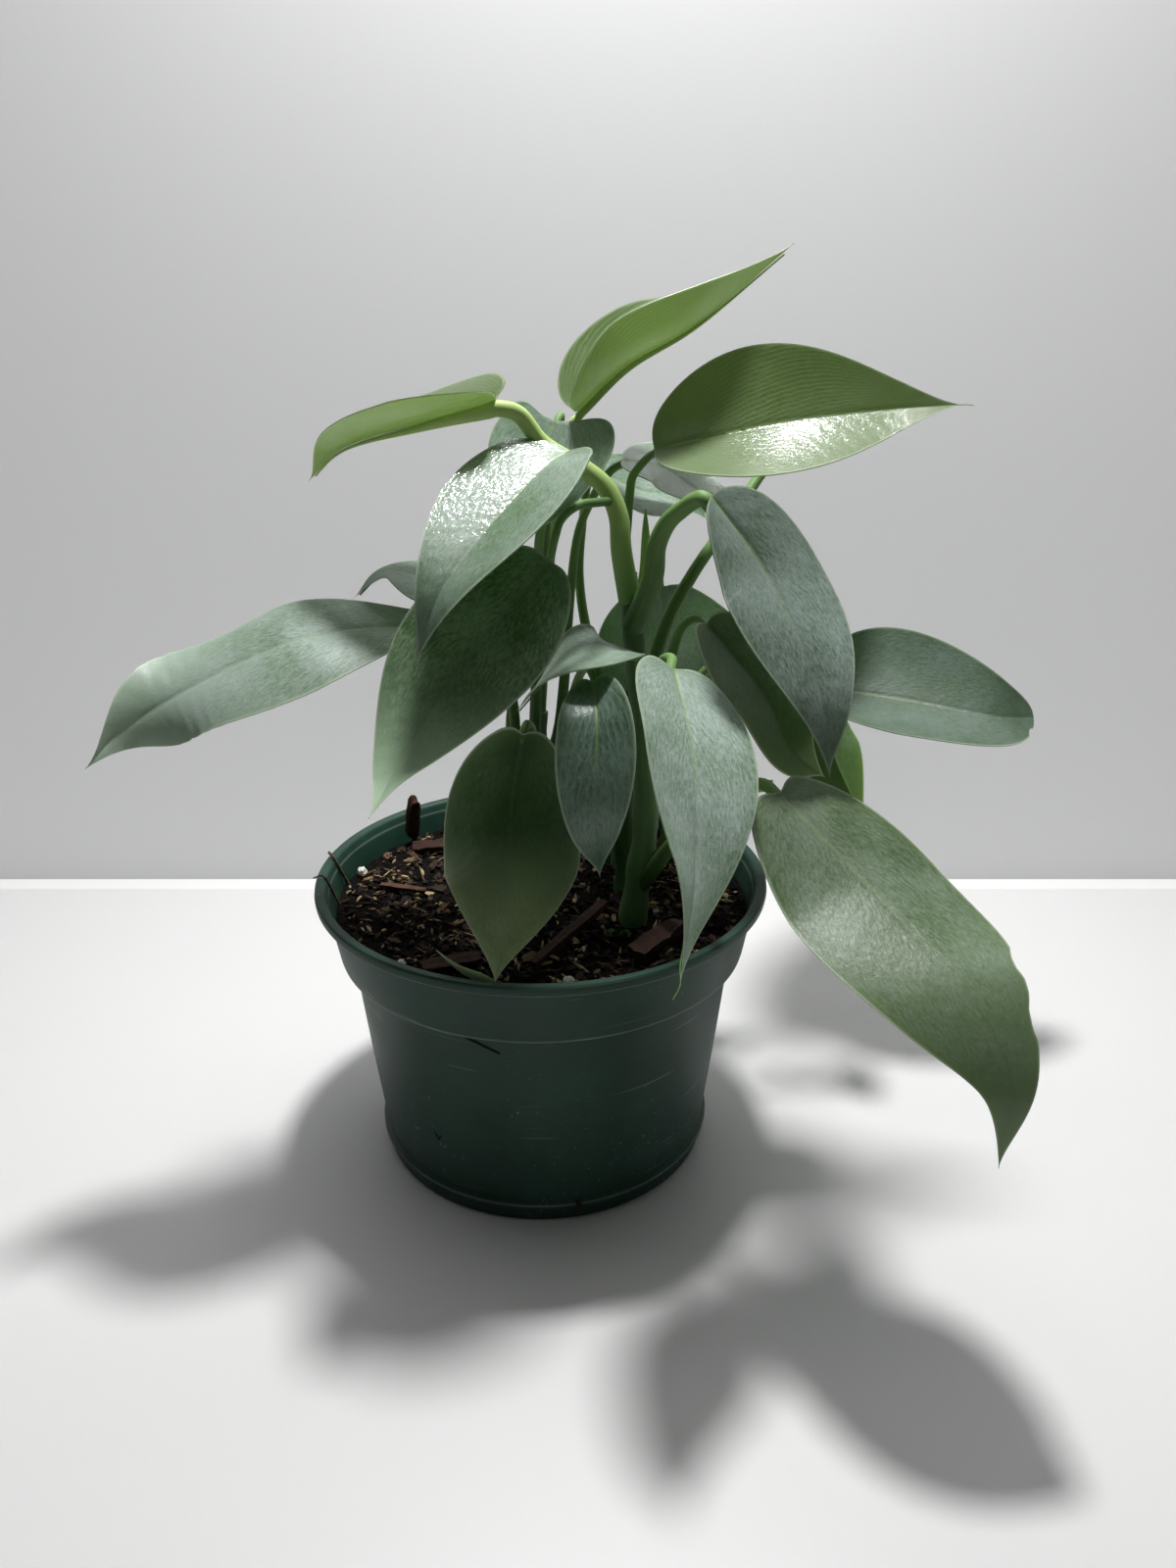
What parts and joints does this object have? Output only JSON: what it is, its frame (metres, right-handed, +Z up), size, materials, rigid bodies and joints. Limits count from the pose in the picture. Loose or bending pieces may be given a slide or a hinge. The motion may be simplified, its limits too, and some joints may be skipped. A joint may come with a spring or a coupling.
{
  "type": "potted philodendron",
  "caption": "Young philodendron with pointed silvery leaves on arching stalks, growing in soil in a round tapered plastic nursery pot.",
  "frame": {"origin": "centre of the pot's flat underside, on the floor that it stands on", "axes": "+Z up along the pot's axis; the front of the plant, as pictured, is the -Y side and +X is to the right seen from there"},
  "size_m": [0.3364, 0.2905, 0.3213],
  "materials": {
    "pot": "dark green moulded plastic, satin, scuffed",
    "soil": "damp dark potting mix",
    "stem": "green shoot, satin",
    "leaf": "grown leaf, silvery grey-green, satin",
    "young_leaf": "young leaf, yellow-green, glossy",
    "bark": "rough reddish brown bark",
    "perlite": "white expanded grain, matte"
  },
  "bodies": {
    "root": {"bark_chunk": "bark", "bark_flake": "bark", "bark_plate": "bark", "bark_stick_long": "bark", "bark_stick_short": "bark", "bark_stub": "bark", "bark_twig": "bark", "leaf_arched": "leaf", "leaf_back_centre": "leaf", "leaf_back_lower": "leaf", "leaf_back_upper": "leaf", "leaf_behind": "leaf", "leaf_crown": "leaf", "leaf_far_left": "leaf", "leaf_far_right": "leaf", "leaf_front_dark": "leaf", "leaf_front_light": "leaf", "leaf_front_small": "leaf", "leaf_left_front": "leaf", "leaf_left_gloss": "leaf", "leaf_left_small": "leaf", "leaf_left_top": "young_leaf", "leaf_low_right": "leaf", "leaf_right_droop": "leaf", "leaf_right_green": "leaf", "leaf_right_top": "young_leaf", "leaf_right_under": "leaf", "leaf_top": "young_leaf", "new_leaf_spike": "young_leaf", "perlite_1": "perlite", "perlite_2": "perlite", "perlite_3": "perlite", "perlite_4": "perlite", "perlite_5": "perlite", "pot": "pot", "soil": "soil", "stem_back": "stem", "stem_left": "stem", "stem_main": "stem"}
  },
  "joints": []
}
